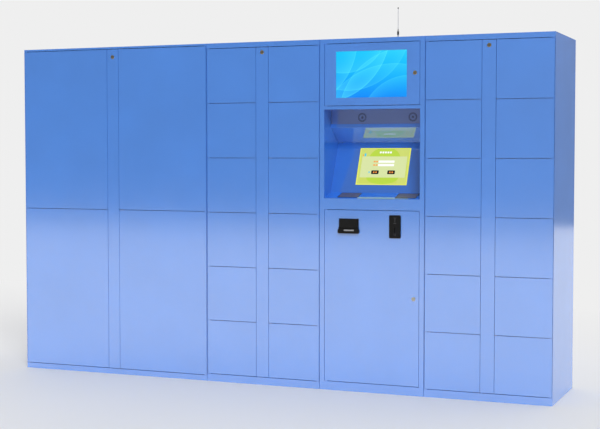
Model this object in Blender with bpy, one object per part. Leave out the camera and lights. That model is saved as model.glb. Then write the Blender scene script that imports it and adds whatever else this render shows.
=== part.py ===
"""Parcel locker bank: four powder-coated sheet-steel cabinets side by side.

From left to right: a cabinet with four large parcel doors, a cabinet with two
columns of six doors, the master cabinet (advertising screen, niche with a
touch screen and speakers, service door with receipt printer and coin
acceptor, antenna on the roof), and a second cabinet with two columns of six
doors. Metres, +Z up, +X along the front, the doors face -Y. The origin is on
the floor below the middle of the bank.
"""

from math import cos, hypot, pi, radians, sin

import bmesh
import bpy
from mathutils import Matrix, Vector

# ---------------------------------------------------------------- the bank
HEIGHT = 1.950
DEPTH = 0.570
PARCEL_WIDTH = 1.238
LOCKER_WIDTH = 0.7005
MASTER_WIDTH = 0.606
SEAM = 0.002                     # between two cabinets standing side by side
SHEET = 0.0015                   # sheet thickness of shells, doors and racks
TOUCH = 0.0003                   # gap between fixed parts that rest on each other
OVER = 0.010                     # how far a cutter runs past the part it cuts
SMOOTH_ANGLE = radians(35.0)     # surfaces that meet at less are shaded as one

# ---------------------------------------------------------------- the fronts
FRONT = -DEPTH / 2
BACK = DEPTH / 2
DOOR_DEPTH = 0.016               # folded edge of a door
STRIP_DEPTH = 0.014              # folded edge of a lock strip
GAP = 0.003                      # between doors above one another
SIDE_GAP = 0.002                 # beside a door
STRIP_HALF = 0.0375              # half width of a lock strip
PIVOT_IN = 0.008                 # pivot axis, from the door's hinge edge
PIVOT_BACK = 0.005               # pivot axis, behind the door's face
PIN_RADIUS = 0.0024
PIN_HOLE_RADIUS = 0.0032
PIN_REACH = 0.0055               # pin, from the middle of its gap
PIN_SIDES = 6
TAB_THICK = 0.002
TAB_REACH = 0.018

PARCEL_GAPS = (0.0335, 0.9853, 1.937)
LOCKER_BOTTOM = 0.0438
LOCKER_TOP = 1.9198
LOCKER_ROWS = 6
FOOT_FLANGE = 0.030

# ---------------------------------------------------------------- inside
SHELF_FRONT = FRONT + DOOR_DEPTH + 0.004
SHELF_THICK = 0.002
POST_HALF = 0.0375
POST_FRONT = SHELF_FRONT
POST_BACK = FRONT + 0.058
LATCH_SIZE = (0.0125, 0.034, 0.056)   # electric latch inside the lock post
LATCH_SET_BACK = 0.003                # from the front of the lock post
STRIKER_X = (0.0405, 0.0435)          # striker plate, from the strip's middle
STRIKER_HALF_HEIGHT = 0.008
STRIKER_BACK = FRONT + 0.040

# ---------------------------------------------------------------- locks
LOCK_Z = 1.890
LOCK_FLANGE = 0.0110
LOCK_BARREL = 0.0090
LOCK_HOLE = 0.0094
LOCK_PROUD = 0.0025
LOCK_SIDES = 16
CAM_Y = (FRONT + 0.019, FRONT + 0.021)
CAM_HALF = 0.006
STRIP_CAM = 0.028
DOOR_CAM = 0.0415
KEEPER_REACH = 0.0155                 # keeper for the strip's cam, on the lock post
KEEPER_PROUD = 0.004
KEEPER_HALF = 0.009

# ---------------------------------------------------------------- master
MASTER_OPENING = 0.551
AD_Z = (1.5824, 1.924)                # middles of the gaps round the ad door
SERVICE_Z = (0.0503, 1.009)
AD_WINDOW = (0.408, 0.255)
AD_WINDOW_X = -0.0033
AD_MONITOR = (0.440, 0.290, 0.043)
AD_LOCK = (0.247, 1.7545)
SERVICE_LOCK = (0.2435, 0.5297)

# niche outline as (depth behind the front, height), from top front to sill
NICHE = ((0.0, 1.562), (0.112, 1.562), (0.112, 1.484), (0.098, 1.484), (0.098, 1.463),
         (0.224, 1.383), (0.102, 1.102), (0.0, 1.0726))
SCREEN = (0.299, 0.2235)
SCREEN_RISE = 0.006                # screen's middle above the middle of its panel
SCREEN_X = 0.0135
TOUCH_MONITOR = (0.340, 0.262, 0.040)
SPEAKER_X = (-0.0915, 0.2025)
SPEAKER_Z = 1.5205
SPEAKER_RADIUS = 0.0265

PRINTER_X = -0.130
PRINTER_Z = (0.879, 0.961)
PRINTER_HALF = 0.0575
PRINTER_PROUD = 0.003
PRINTER_INSIDE = (0.100, 0.080, (0.884, 0.956))   # width, depth, heights
LIP_HALF = 0.0615
LIP_TOP = 0.905
LIP_PROUD = 0.014
LIP_CORNER = 0.004
PAPER_MOUTH_X = (-0.026, 0.034)       # recess round the paper slot, from PRINTER_X
PAPER_MOUTH_Z = (0.8925, 0.9010)
PAPER_MOUTH_DEPTH = 0.002
PAPER_SLOT_Z = (0.8950, 0.8965)
PAPER_SLOT_SIDE = 0.002               # recess, beside the slot
EAR_THICK = 0.003
COVER_HALF = 0.054
COVER_PROUD = (0.0115, 0.0045)        # its face and its back, before the door
COVER_LOW = LIP_TOP + 0.004
COVER_CORNER = 0.003
COVER_AXIS = (-0.0075, LIP_TOP + 0.0065)
COVER_PIN_RADIUS = 0.0012
COVER_PIN_CLEARANCE = 0.0005

COIN_X = 0.138
COIN_Z = 0.9215
COIN_SIZE = (0.066, 0.126)
COIN_PROUD = 0.006
COIN_CORNER = 0.006
COIN_INSIDE = (0.052, 0.085, 0.102)   # width, depth, height
COIN_SLOT_HALF = 0.0017
COIN_SLOT_Z = (0.888, 0.915)
COIN_MARK_HALF = 0.003
COIN_MARK_Z = (0.953, 0.969)
BUTTON_Z = 0.880
BUTTON_RADIUS = 0.0035
BUTTON_CLEARANCE = 0.0004
BUTTON_SIDES = 12
CUTOUT_PLAY = 0.0015                  # round a unit that passes through the door

CONTROLLER_WIDTH = 0.300
CONTROLLER_DEPTH = 0.080
CONTROLLER_Z = (0.300, 0.520)

ANTENNA_X = 0.1185
ANTENNA_Y = FRONT + 0.100
ANTENNA_TIP = 2.120
ANTENNA_FOOT = 0.042

PAINT = (0.055, 0.205, 0.62)


# ------------------------------------------------------------ mesh helpers
def mesh_from(bm):
    """Turn a bmesh into a mesh with its faces pointing out."""
    bmesh.ops.recalc_face_normals(bm, faces=bm.faces)
    mesh = bpy.data.meshes.new("solid")
    bm.to_mesh(mesh)
    bm.free()
    return mesh


def box(x, y, z):
    """A closed box between three (low, high) pairs."""
    bm = bmesh.new()
    bmesh.ops.create_cube(bm, size=1.0)
    for vert in bm.verts:
        vert.co.x = x[0] if vert.co.x < 0 else x[1]
        vert.co.y = y[0] if vert.co.y < 0 else y[1]
        vert.co.z = z[0] if vert.co.z < 0 else z[1]
    return mesh_from(bm)


def prism(outline, x):
    """A closed prism along X over an outline of (y, z) points."""
    bm = bmesh.new()
    face = bm.faces.new([bm.verts.new((x[0], y, z)) for y, z in outline])
    moved = bmesh.ops.extrude_face_region(bm, geom=[face])
    for item in moved["geom"]:
        if isinstance(item, bmesh.types.BMVert):
            item.co.x = x[1]
    return mesh_from(bm)


def turned(profile, sides):
    """A solid of revolution about Z from (radius, z) points, bottom to top."""
    bm = bmesh.new()
    rings = []
    for radius, z in profile:
        rings.append([bm.verts.new((radius * cos(a), radius * sin(a), z))
                      for a in (2 * pi * (k + 0.5) / sides for k in range(sides))])
    for low, high in zip(rings, rings[1:]):
        for k in range(sides):
            n = (k + 1) % sides
            bm.faces.new((low[k], low[n], high[n], high[k]))
    bm.faces.new(reversed(rings[0]))
    bm.faces.new(rings[-1])
    return mesh_from(bm)


def placed(mesh, matrix):
    """Move a mesh's points by a matrix."""
    mesh.transform(matrix)
    return mesh


def along_y(mesh, x, z, y=0.0):
    """Lay a solid turned about +Z down so that it runs towards +Y."""
    return placed(mesh, Matrix.Translation((x, y, z)) @ Matrix.Rotation(-pi / 2, 4, "X"))


def upright_rod(radius, x, y, z, sides=PIN_SIDES):
    """A vertical rod between two heights."""
    rod = turned(((radius, z[0]), (radius, z[1])), sides)
    return placed(rod, Matrix.Translation((x, y, 0.0)))


def combine(base, tools, operation):
    """Union or difference of a mesh with others, one exact Boolean each."""
    for tool in tools:
        body = bpy.data.objects.new("body", base)
        other = bpy.data.objects.new("other", tool)
        for item in (body, other):
            bpy.context.scene.collection.objects.link(item)
        boolean = body.modifiers.new("Boolean", "BOOLEAN")
        boolean.operation = operation
        boolean.object = other
        bpy.context.view_layer.update()
        seen = body.evaluated_get(bpy.context.evaluated_depsgraph_get())
        base = bpy.data.meshes.new_from_object(seen)
        for item in (body, other):
            bpy.data.objects.remove(item)
    return base


def add(base, *tools):
    return combine(base, tools, "UNION")


def cut(base, *tools):
    return combine(base, tools, "DIFFERENCE")


def round_vertical_corners(mesh, radius, segments=3):
    """Bevel the four edges that run along Y, as on a stamped plate."""
    bm = bmesh.new()
    bm.from_mesh(mesh)
    edges = [e for e in bm.edges if abs((e.verts[0].co - e.verts[1].co).normalized().y) > 0.99]
    bmesh.ops.bevel(bm, geom=edges, offset=radius, segments=segments, affect="EDGES")
    return mesh_from(bm)


# ---------------------------------------------------------------- materials
def material(name, colour, roughness, metallic):
    made = bpy.data.materials.new(name)
    made.use_nodes = True
    shader = made.node_tree.nodes["Principled BSDF"]
    shader.inputs["Base Color"].default_value = (*colour, 1.0)
    shader.inputs["Roughness"].default_value = roughness
    shader.inputs["Metallic"].default_value = metallic
    made.diffuse_color = (*colour, 1.0)
    return made


def make_materials():
    return {
        "paint": material("blue_paint", PAINT, 0.32, 0.0),
        "zinc": material("zinc_steel", (0.55, 0.56, 0.58), 0.42, 1.0),
        "brass": material("brass", (0.80, 0.58, 0.25), 0.30, 1.0),
        "black": material("black_plastic", (0.03, 0.03, 0.03), 0.45, 0.0),
        "grey": material("grey_plastic", (0.35, 0.36, 0.38), 0.5, 0.0),
        "screen": material("screen", (0.1, 0.45, 0.9), 0.15, 0.0),
        "touch": material("touch_screen", (0.65, 0.78, 0.3), 0.15, 0.0),
    }


# ------------------------------------------------------------------ objects
def node(name, mesh, mat, parent=None, at=(0.0, 0.0, 0.0)):
    """Link a mesh drawn in its parent's frame, with its origin moved to `at`."""
    mesh.name = name
    mesh.transform(Matrix.Translation(-Vector(at)))
    return copy_of(name, mesh, mat, parent, at)


def copy_of(name, mesh, mat, parent=None, at=(0.0, 0.0, 0.0)):
    """Link a mesh that is already drawn about its own origin."""
    if not mesh.materials:
        mesh.materials.append(mat)
    mesh.shade_smooth()
    mesh.set_sharp_from_angle(angle=SMOOTH_ANGLE)
    made = bpy.data.objects.new(name, mesh)
    bpy.context.scene.collection.objects.link(made)
    made.location = at
    made.parent = parent
    return made


def cabinet_frame(name, left, width):
    """An empty on the floor under the middle of a cabinet."""
    empty = bpy.data.objects.new(name, None)
    bpy.context.scene.collection.objects.link(empty)
    empty.location = (left + width / 2, 0.0, 0.0)
    return empty


# ------------------------------------------------------------------ hinges
def hinge_tab(side, wall_x, pivot_x, z):
    """Tab in a gap, on the wall beside a door, with a pin up and down."""
    inner = pivot_x - side * (TAB_REACH - PIVOT_IN - SIDE_GAP)
    low, high = sorted((wall_x + side * SHEET / 2, inner))
    tab = box((low, high), (FRONT + SHEET, FRONT + DOOR_DEPTH - 0.002),
              (z - TAB_THICK / 2, z + TAB_THICK / 2))
    pin = upright_rod(PIN_RADIUS, pivot_x, FRONT + PIVOT_BACK, (z - PIN_REACH, z + PIN_REACH))
    return add(tab, pin)


def end_pin(x, z, towards):
    """Pin standing on a rail's flange, for a leaf with no wall beside it."""
    far = z + towards * PIN_REACH
    near = z - towards * (GAP / 2 + SHEET / 2)
    return upright_rod(PIN_RADIUS, x, FRONT + PIVOT_BACK, sorted((near, far)))


def pivot_of(side, half_width):
    """X of the pivot for a leaf hinged on the wall at side * half_width."""
    return side * (half_width - SIDE_GAP - PIVOT_IN)


# ------------------------------------------------------------------ doors
def leaf(x, z, depth, pivot_x):
    """A folded tray, open at the back, with a pin hole in both end flanges."""
    tray = box(x, (FRONT, FRONT + depth), z)
    pocket = box((x[0] + SHEET, x[1] - SHEET), (FRONT + SHEET, FRONT + depth + OVER),
                 (z[0] + SHEET, z[1] - SHEET))
    holes = [upright_rod(PIN_HOLE_RADIUS, pivot_x, FRONT + PIVOT_BACK,
                         (end - 2 * SHEET, end + 2 * SHEET)) for end in z]
    return cut(tray, pocket, *holes)


def striker(side, z):
    """Plate behind a door that the electric latch holds."""
    x = sorted((side * STRIKER_X[0], side * STRIKER_X[1]))
    return box(x, (FRONT + SHEET / 2, STRIKER_BACK),
               (z - STRIKER_HALF_HEIGHT, z + STRIKER_HALF_HEIGHT))


def column_door(side, inner_half, z):
    """Door of the left (-1) or right (+1) column between two gap heights."""
    edges = sorted((side * (inner_half - SIDE_GAP), side * (STRIP_HALF + SIDE_GAP)))
    heights = (z[0] + GAP / 2, z[1] - GAP / 2)
    tray = leaf(edges, heights, DOOR_DEPTH, pivot_of(side, inner_half))
    return add(tray, striker(side, sum(z) / 2))


def lock_strip(z):
    """Cover of the lock post, hinged at its left edge."""
    pivot_x = -STRIP_HALF + PIVOT_IN
    strip = leaf((-STRIP_HALF, STRIP_HALF), (z[0] + GAP / 2, z[1] - GAP / 2),
                 STRIP_DEPTH, pivot_x)
    return cut(strip, lock_hole(0.0, LOCK_Z))


# ------------------------------------------------------------------ locks
def lock_hole(x, z):
    return along_y(turned(((LOCK_HOLE, -OVER), (LOCK_HOLE, OVER)), LOCK_SIDES), x, z, FRONT)


def cam_lock(cam_length):
    """Key cylinder about its own axis, with its cam pointing up."""
    barrel_end = CAM_Y[1] + 0.001 - FRONT
    profile = ((0.0085, -LOCK_PROUD), (LOCK_FLANGE, -LOCK_PROUD + 0.001),
               (LOCK_FLANGE, -TOUCH), (LOCK_BARREL, -TOUCH), (LOCK_BARREL, barrel_end))
    body = along_y(turned(profile, LOCK_SIDES), 0.0, 0.0)
    cam = box((-CAM_HALF, CAM_HALF), (CAM_Y[0] - FRONT, CAM_Y[1] - FRONT), (-CAM_HALF, cam_length))
    key_slot = box((-0.0007, 0.0007), (-0.005, -LOCK_PROUD + 0.0012), (-0.0045, 0.0045))
    return cut(add(body, cam), key_slot)


def make_lock(name, x, z, cam_length, mats, parent, parent_at):
    lock = cam_lock(cam_length)
    at = Vector((x, FRONT, z)) - Vector(parent_at)
    return copy_of(name, lock, mats["brass"], parent, at)


# --------------------------------------------------------- locker cabinets
def locker_shell(half, gaps):
    """Welded shell: sides, back, roof with front rail, floor pan with plinth."""
    inner = half - SHEET
    bottom = gaps[0] - GAP / 2
    top = gaps[-1] + GAP / 2
    rail_back = FRONT + DOOR_DEPTH
    roof = HEIGHT - SHEET
    cavity = ((FRONT - OVER, bottom), (FRONT - OVER, top), (rail_back, top),
              (rail_back, top + SHEET), (FRONT + SHEET, top + SHEET), (FRONT + SHEET, roof),
              (BACK - SHEET, roof), (BACK - SHEET, bottom))
    shell = box((-half, half), (FRONT, BACK), (0.0, HEIGHT))
    shell = cut(shell, prism(cavity, (-inner, inner)))
    shell = cut(shell, *plinth_hollow(inner, bottom))
    for side in (-1, 1):
        for z in gaps:
            shell = add(shell, hinge_tab(side, side * inner, pivot_of(side, inner), z))
    strip_pivot = -STRIP_HALF + PIVOT_IN
    shell = add(shell, end_pin(strip_pivot, gaps[0], 1))
    return add(shell, end_pin(strip_pivot, gaps[-1], -1))


def plinth_hollow(inner, bottom):
    """The hollow under the floor pan, with a flange left round the foot."""
    hollow = box((-inner, inner), (FRONT + SHEET, BACK - SHEET), (SHEET, bottom - SHEET))
    mouth = box((-inner + FOOT_FLANGE, inner - FOOT_FLANGE),
                (FRONT + FOOT_FLANGE, BACK - FOOT_FLANGE), (-OVER, 2 * SHEET))
    return hollow, mouth


def locker_rack(half, gaps):
    """Two partitions and the shelves, notched round the lock post."""
    edge = half - SHEET - TOUCH
    back = BACK - SHEET - TOUCH
    low = gaps[0] - GAP / 2 + TOUCH
    high = HEIGHT - SHEET - TOUCH
    partition_front = POST_BACK + 0.001
    rack = box((-POST_HALF - SHEET, POST_HALF + SHEET), (partition_front, back), (low, high))
    rack = cut(rack, box((-POST_HALF, POST_HALF), (FRONT, back + OVER), (low - OVER, high + OVER)))
    for z in gaps[1:-1]:
        shelf = box((-edge, edge), (SHELF_FRONT, back), (z - SHELF_THICK / 2, z + SHELF_THICK / 2))
        notch = box((-POST_HALF - 0.0005, POST_HALF + 0.0005), (FRONT, partition_front + 0.001),
                    (z - OVER, z + OVER))
        rack = add(rack, cut(shelf, notch))
    return rack


def lock_post(gaps):
    """Channel behind the lock strip, with the electric latches in its sides."""
    low = gaps[0] - GAP / 2 + TOUCH
    high = HEIGHT - SHEET - TOUCH
    post = box((-POST_HALF, POST_HALF), (POST_FRONT, POST_BACK), (low, high))
    post = cut(post, box((-POST_HALF + SHEET, POST_HALF - SHEET),
                         (POST_FRONT - OVER, POST_BACK - SHEET), (low - OVER, high + OVER)))
    width, depth, height = LATCH_SIZE
    latch_front = POST_FRONT + LATCH_SET_BACK
    for z in row_middles(gaps):
        for side in (-1, 1):
            x = sorted((side * (POST_HALF - SHEET / 2), side * (POST_HALF - width)))
            post = add(post, box(x, (latch_front, latch_front + depth),
                                 (z - height / 2, z + height / 2)))
    keeper_front = POST_FRONT - KEEPER_PROUD
    keeper_z = (LOCK_Z - KEEPER_HALF, LOCK_Z + KEEPER_HALF)
    leg = box((POST_HALF - SHEET, POST_HALF), (keeper_front, POST_FRONT + KEEPER_PROUD), keeper_z)
    tab = box((POST_HALF - KEEPER_REACH, POST_HALF), (keeper_front, keeper_front + SHEET), keeper_z)
    return add(post, leg, tab)


def row_middles(gaps):
    return [(low + high) / 2 for low, high in zip(gaps, gaps[1:])]


def make_locker(name, left, width, gaps, mats):
    """A cabinet with two columns of doors and a lock strip between them."""
    frame = cabinet_frame(name, left, width)
    half = (width - SEAM) / 2
    inner = half - SHEET
    node(f"{name}_shell", locker_shell(half, gaps), mats["paint"], frame)
    node(f"{name}_rack", locker_rack(half, gaps), mats["paint"], frame)
    node(f"{name}_lock_post", lock_post(gaps), mats["zinc"], frame)
    rows = list(zip(gaps, gaps[1:]))[::-1]
    pivot_y = FRONT + PIVOT_BACK
    for side, column in ((-1, "left"), (1, "right")):
        at = (pivot_of(side, inner), pivot_y, sum(rows[0]) / 2)
        door = column_door(side, inner, rows[0])
        node(f"{name}_door_{column}_1", door, mats["paint"], frame, at)
        for number, row in enumerate(rows[1:], start=2):
            copy_of(f"{name}_door_{column}_{number}", door, mats["paint"], frame,
                    (at[0], pivot_y, sum(row) / 2))
    at = (-STRIP_HALF + PIVOT_IN, pivot_y, (gaps[0] + gaps[-1]) / 2)
    strip = node(f"{name}_strip", lock_strip((gaps[0], gaps[-1])), mats["paint"], frame, at)
    make_lock(f"{name}_strip_lock", 0.0, LOCK_Z, STRIP_CAM, mats, strip, at)


# --------------------------------------------------------- master cabinet
def framed_opening(half_width, z):
    """The way through the front frame for a door between two gap heights."""
    return box((-half_width, half_width), (FRONT - OVER, FRONT + 0.03),
               (z[0] - GAP / 2, z[1] + GAP / 2))


def master_shell(half):
    """Shell with a folded front frame round three openings."""
    inner = half - SHEET
    opening = MASTER_OPENING / 2
    frame_back = FRONT + DOOR_DEPTH
    roof = HEIGHT - SHEET
    floor = SERVICE_Z[0] - GAP / 2
    niche_top = NICHE[0][1] + SHEET + TOUCH
    niche_bottom = NICHE[-1][1] - SHEET - TOUCH
    niche_half = opening + SHEET + TOUCH
    shell = box((-half, half), (FRONT, BACK), (0.0, HEIGHT))
    shell = cut(shell, box((-inner, inner), (frame_back, BACK - SHEET), (floor, roof)))
    shell = cut(shell, framed_opening(opening, AD_Z), framed_opening(opening, SERVICE_Z))
    shell = cut(shell, box((-niche_half, niche_half), (FRONT - OVER, FRONT + 0.03),
                           (niche_bottom, niche_top)))
    pocket_y = (FRONT + SHEET, frame_back + 0.005)
    for side in (-1, 1):
        x = sorted((side * (opening + SHEET), side * inner))
        shell = cut(shell, box(x, pocket_y, (floor + SHEET, roof)))
    rails = ((AD_Z[1] + GAP / 2, roof + SHEET),
             (niche_top, AD_Z[0] - GAP / 2),
             (SERVICE_Z[1] + GAP / 2, niche_bottom))
    for low, high in rails:
        shell = cut(shell, box((-opening, opening), pocket_y, (low + SHEET, high - SHEET)))
    shell = cut(shell, *plinth_hollow(inner, floor))
    for z in AD_Z + SERVICE_Z:
        shell = add(shell, hinge_tab(-1, -opening, pivot_of(-1, opening), z))
    return shell


def offset_outline(points, distance):
    """Move an open outline of (depth, height) points to its left by a distance."""
    moved = []
    for k, point in enumerate(points):
        normals = []
        for a, b in zip(points[max(k - 1, 0):k + 1], points[max(k, 1):k + 2]):
            length = hypot(b[0] - a[0], b[1] - a[1])
            normals.append(Vector((-(b[1] - a[1]) / length, (b[0] - a[0]) / length)))
        mitre = (normals[0] + normals[-1]).normalized()
        step = mitre * (distance / mitre.dot(normals[0]))
        moved.append((point[0] + step.x, point[1] + step.y))
    return moved


def niche_liner():
    """Folded tray: ceiling, speaker band, ledge, soffit, screen panel, sill, two sides."""
    half = MASTER_OPENING / 2
    outer = offset_outline(NICHE, SHEET)
    front = TOUCH
    outer[0] = (front, NICHE[0][1] + SHEET)
    outer[-1] = (front, NICHE[-1][1] - SHEET)
    sill_slope = (NICHE[-2][1] - NICHE[-1][1]) / (NICHE[-2][0] - NICHE[-1][0])
    inner = list(NICHE)
    inner[0] = (-0.02, NICHE[0][1])
    inner[-1] = (-0.02, NICHE[-1][1] - 0.02 * sill_slope)
    liner = prism([(FRONT + d, z) for d, z in outer], (-half - SHEET, half + SHEET))
    liner = cut(liner, prism([(FRONT + d, z) for d, z in inner], (-half, half)))
    window = box((-SCREEN[0] / 2, SCREEN[0] / 2), (-0.02, 0.02), (-SCREEN[1] / 2, SCREEN[1] / 2))
    liner = cut(liner, placed(window, screen_matrix()))
    for x in SPEAKER_X:
        hole = turned(((SPEAKER_RADIUS - 0.003, -OVER), (SPEAKER_RADIUS - 0.003, OVER)), 16)
        liner = cut(liner, along_y(hole, x, SPEAKER_Z, FRONT + NICHE[1][0]))
    return liner


def screen_tilt():
    """Angle of the screen panel from upright, leaning back at its top."""
    top, bottom = NICHE[-3], NICHE[-2]
    rise = Vector((top[0] - bottom[0], top[1] - bottom[1])).normalized()
    return -Vector((0.0, 1.0)).angle(rise)


def screen_matrix():
    """Frame on the screen panel: origin at the screen's middle, +Y into it."""
    top, bottom = NICHE[-3], NICHE[-2]
    middle = (SCREEN_X, FRONT + (top[0] + bottom[0]) / 2, (top[1] + bottom[1]) / 2)
    turn = Matrix.Rotation(screen_tilt(), 4, "X")
    return Matrix.Translation(middle) @ turn @ Matrix.Translation((0.0, 0.0, SCREEN_RISE))


def centred(size):
    return (-size / 2, size / 2)


def about(middle, half):
    return (middle - half, middle + half)


def make_niche(mats, frame):
    node("niche_liner", niche_liner(), mats["paint"], frame)
    width, height, depth = TOUCH_MONITOR
    behind = SHEET + TOUCH
    monitor = box(centred(width), (behind, behind + depth), centred(height))
    made = copy_of("touch_monitor", monitor, mats["touch"], frame, screen_matrix().translation)
    made.rotation_euler = (screen_tilt(), 0.0, 0.0)
    rim = SPEAKER_RADIUS
    profile = ((rim - 0.001, -0.0022), (rim, -0.0014), (rim, -TOUCH),
               (rim - 0.0035, -TOUCH), (rim - 0.0035, 0.022))
    for x, side in zip(SPEAKER_X, ("left", "right")):
        speaker = along_y(turned(profile, 16), 0.0, 0.0)
        copy_of(f"speaker_{side}", speaker, mats["black"], frame,
                (x, FRONT + NICHE[1][0], SPEAKER_Z))


def make_ad_door(mats, frame):
    half = MASTER_OPENING / 2
    pivot_x = pivot_of(-1, half)
    middle = sum(AD_Z) / 2
    at = (pivot_x, FRONT + PIVOT_BACK, middle)
    door = leaf((-half + SIDE_GAP, half - SIDE_GAP), (AD_Z[0] + GAP / 2, AD_Z[1] - GAP / 2),
                DOOR_DEPTH, pivot_x)
    width, height = AD_WINDOW
    window = box((AD_WINDOW_X - width / 2, AD_WINDOW_X + width / 2), (FRONT - OVER, FRONT + OVER),
                 (middle - height / 2, middle + height / 2))
    door = cut(door, window, lock_hole(*AD_LOCK))
    hung = node("ad_door", door, mats["paint"], frame, at)
    width, height, depth = AD_MONITOR
    face = FRONT + SHEET + TOUCH
    monitor = box((AD_WINDOW_X - width / 2, AD_WINDOW_X + width / 2), (face, face + depth),
                  (middle - height / 2, middle + height / 2))
    monitor.transform(Matrix.Translation(-Vector(at)))
    copy_of("ad_monitor", monitor, mats["screen"], hung)
    make_lock("ad_lock", *AD_LOCK, DOOR_CAM, mats, hung, at)


def make_service_door(mats, frame):
    half = MASTER_OPENING / 2
    pivot_x = pivot_of(-1, half)
    at = (pivot_x, FRONT + PIVOT_BACK, sum(SERVICE_Z) / 2)
    door = leaf((-half + SIDE_GAP, half - SIDE_GAP),
                (SERVICE_Z[0] + GAP / 2, SERVICE_Z[1] - GAP / 2), DOOR_DEPTH, pivot_x)
    width, _, (low, high) = PRINTER_INSIDE
    printer_hole = cutout(PRINTER_X, width, (low, high))
    width, _, height = COIN_INSIDE
    coin_hole = cutout(COIN_X, width, (COIN_Z - height / 2, COIN_Z + height / 2))
    door = cut(door, printer_hole, coin_hole, lock_hole(*SERVICE_LOCK))
    hung = node("service_door", door, mats["paint"], frame, at)
    make_lock("service_lock", *SERVICE_LOCK, DOOR_CAM, mats, hung, at)
    make_printer(mats, hung, at)
    make_coin_acceptor(mats, hung, at)


def cutout(x, width, z):
    """The hole in the door's sheet for a unit of this width between two heights."""
    half = width / 2 + CUTOUT_PLAY
    return box((x - half, x + half), (FRONT - OVER, FRONT + OVER),
               (z[0] - CUTOUT_PLAY, z[1] + CUTOUT_PLAY))


def make_printer(mats, door, door_at):
    """Receipt printer: bezel with a paper lip, and a cover that tips forward."""
    bezel = box(about(PRINTER_X, PRINTER_HALF), (FRONT - PRINTER_PROUD, FRONT - TOUCH), PRINTER_Z)
    width, depth, heights = PRINTER_INSIDE
    inside = box(about(PRINTER_X, width / 2), (FRONT - PRINTER_PROUD / 2, FRONT + depth), heights)
    lip = box(about(PRINTER_X, LIP_HALF), (FRONT - LIP_PROUD, FRONT - TOUCH),
              (PRINTER_Z[0], LIP_TOP))
    lip = round_vertical_corners(lip, LIP_CORNER)
    body = add(bezel, inside, lip)
    pivot = Vector((PRINTER_X, FRONT + COVER_AXIS[0], COVER_AXIS[1]))
    for side in (-1, 1):
        ear = box(sorted((PRINTER_X + side * (PRINTER_HALF - EAR_THICK),
                          PRINTER_X + side * PRINTER_HALF)),
                  (pivot.y - EAR_THICK, FRONT - PRINTER_PROUD / 2),
                  (LIP_TOP - SHEET, pivot.z + EAR_THICK))
        body = add(body, ear, cover_pin(pivot, side, COVER_PIN_RADIUS, COVER_HALF - 0.004))
    mouth_x = [PRINTER_X + end for end in PAPER_MOUTH_X]
    lip_face = FRONT - LIP_PROUD
    mouth = box(mouth_x, (lip_face - OVER, lip_face + PAPER_MOUTH_DEPTH), PAPER_MOUTH_Z)
    paper_slot = box((mouth_x[0] + PAPER_SLOT_SIDE, mouth_x[1] - PAPER_SLOT_SIDE),
                     (lip_face, FRONT - 0.006), PAPER_SLOT_Z)
    body = cut(body, mouth, paper_slot)
    body.transform(Matrix.Translation(-Vector(door_at)))
    copy_of("printer_body", body, mats["black"], door)

    cover = box(about(PRINTER_X, COVER_HALF), (FRONT - COVER_PROUD[0], FRONT - COVER_PROUD[1]),
                (COVER_LOW, PRINTER_Z[1] - PRINTER_PROUD))
    cover = round_vertical_corners(cover, COVER_CORNER)
    hole_radius = COVER_PIN_RADIUS + COVER_PIN_CLEARANCE
    for side in (-1, 1):
        cover = cut(cover, cover_pin(pivot, side, hole_radius, COVER_HALF - 0.005))
    cover.transform(Matrix.Translation(-pivot))
    copy_of("printer_cover", cover, mats["black"], door, pivot - Vector(door_at))


def cover_pin(pivot, side, radius, start):
    """Short pin along X at one end of the printer cover's hinge line."""
    pin = turned(((radius, start), (radius, PRINTER_HALF - 0.001)), PIN_SIDES)
    return placed(pin, Matrix.Translation(pivot) @ Matrix.Rotation(side * pi / 2, 4, "Y"))


def make_coin_acceptor(mats, door, door_at):
    """Coin plate with a tapered coin slot, a call mark and a return button."""
    width, height = COIN_SIZE
    plate = box(about(COIN_X, width / 2), (FRONT - COIN_PROUD, FRONT - TOUCH),
                about(COIN_Z, height / 2))
    plate = round_vertical_corners(plate, COIN_CORNER)
    width, depth, height = COIN_INSIDE
    inside = box(about(COIN_X, width / 2), (FRONT - COIN_PROUD / 2, FRONT + depth),
                 about(COIN_Z, height / 2))
    coin_slot = box(about(COIN_X, COIN_SLOT_HALF), (FRONT - COIN_PROUD - OVER, FRONT + 0.012),
                    COIN_SLOT_Z)
    mark = box(about(COIN_X, COIN_MARK_HALF), (FRONT - COIN_PROUD - OVER, FRONT - 0.005),
               COIN_MARK_Z)
    bore_radius = BUTTON_RADIUS + BUTTON_CLEARANCE
    bore = turned(((bore_radius, -COIN_PROUD - OVER), (bore_radius, 0.008)), BUTTON_SIDES)
    body = cut(add(plate, inside), coin_slot, mark, along_y(bore, COIN_X, BUTTON_Z, FRONT))
    body.transform(Matrix.Translation(-Vector(door_at)))
    copy_of("coin_acceptor", body, mats["black"], door)
    profile = ((BUTTON_RADIUS - 0.0006, -COIN_PROUD - 0.0020),
               (BUTTON_RADIUS, -COIN_PROUD - 0.0014), (BUTTON_RADIUS, 0.003))
    button = along_y(turned(profile, BUTTON_SIDES), 0.0, 0.0)
    copy_of("coin_button", button, mats["grey"], door,
            Vector((COIN_X, FRONT, BUTTON_Z)) - Vector(door_at))


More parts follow.
